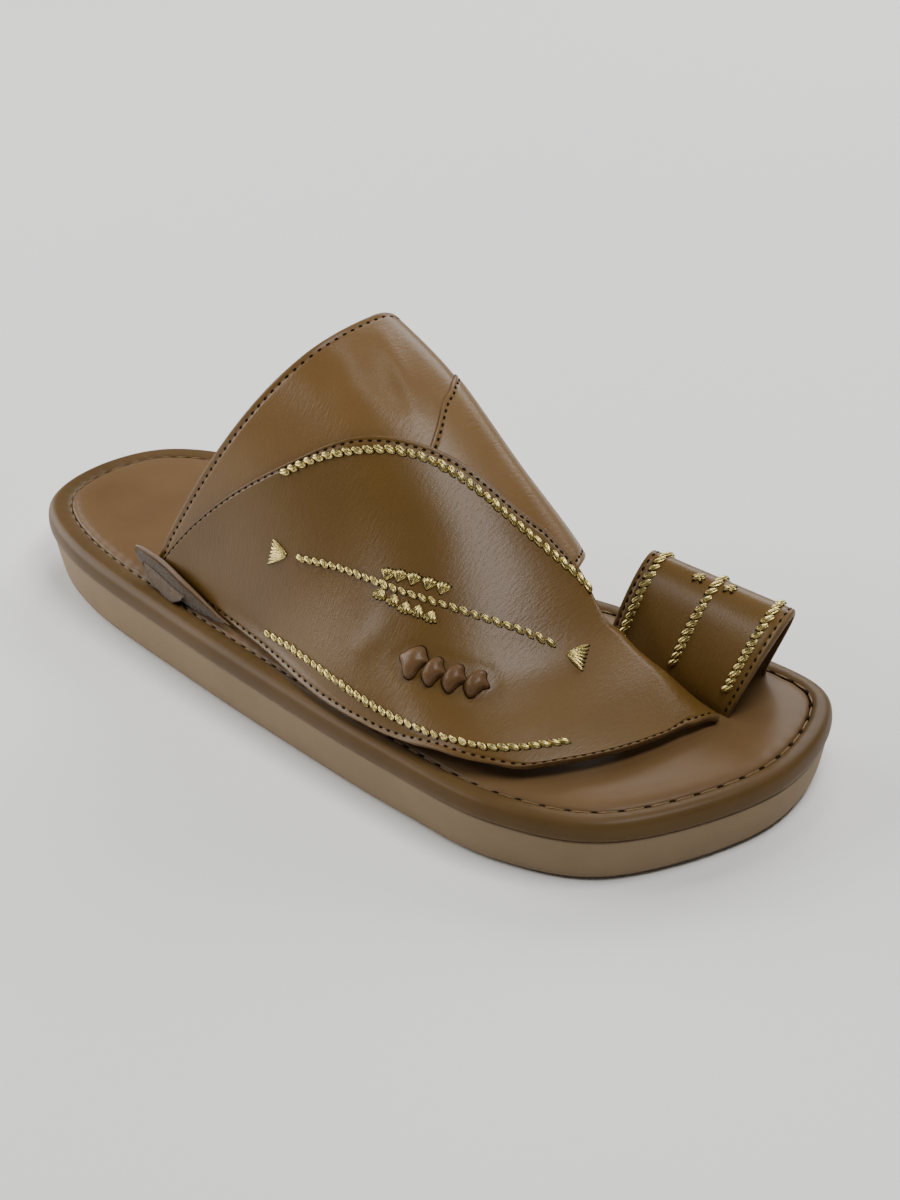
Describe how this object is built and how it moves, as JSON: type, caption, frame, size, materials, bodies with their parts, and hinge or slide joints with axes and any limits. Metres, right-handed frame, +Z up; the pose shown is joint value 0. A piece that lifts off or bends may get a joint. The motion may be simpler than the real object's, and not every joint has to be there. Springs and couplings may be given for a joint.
{
  "type": "sandal",
  "caption": "Flat traditional leather sandal for the right foot with an instep band, a leaf-shaped vamp strap and a big-toe ring on a wrapped foam sole.",
  "frame": {"origin": "middle of the footprint's bounding box, on the floor under the sole", "axes": "+X from heel to toe, +Y to the big-toe side, +Z up"},
  "size_m": [0.2849, 0.1088, 0.1082],
  "materials": {
    "taupe_foam": "matte, fine grained",
    "wrapped_leather": "satin",
    "insole_leather": "satin",
    "glazed_leather": "glossy",
    "raw_leather_edge": "matte, fibrous"
  },
  "bodies": {
    "root": {"outsole": "taupe_foam", "footbed": "wrapped_leather", "insole": "insole_leather", "upper": "glazed_leather", "toe_ring": "glazed_leather", "side_tab": "raw_leather_edge", "woven_strip": "glazed_leather"}
  },
  "joints": []
}
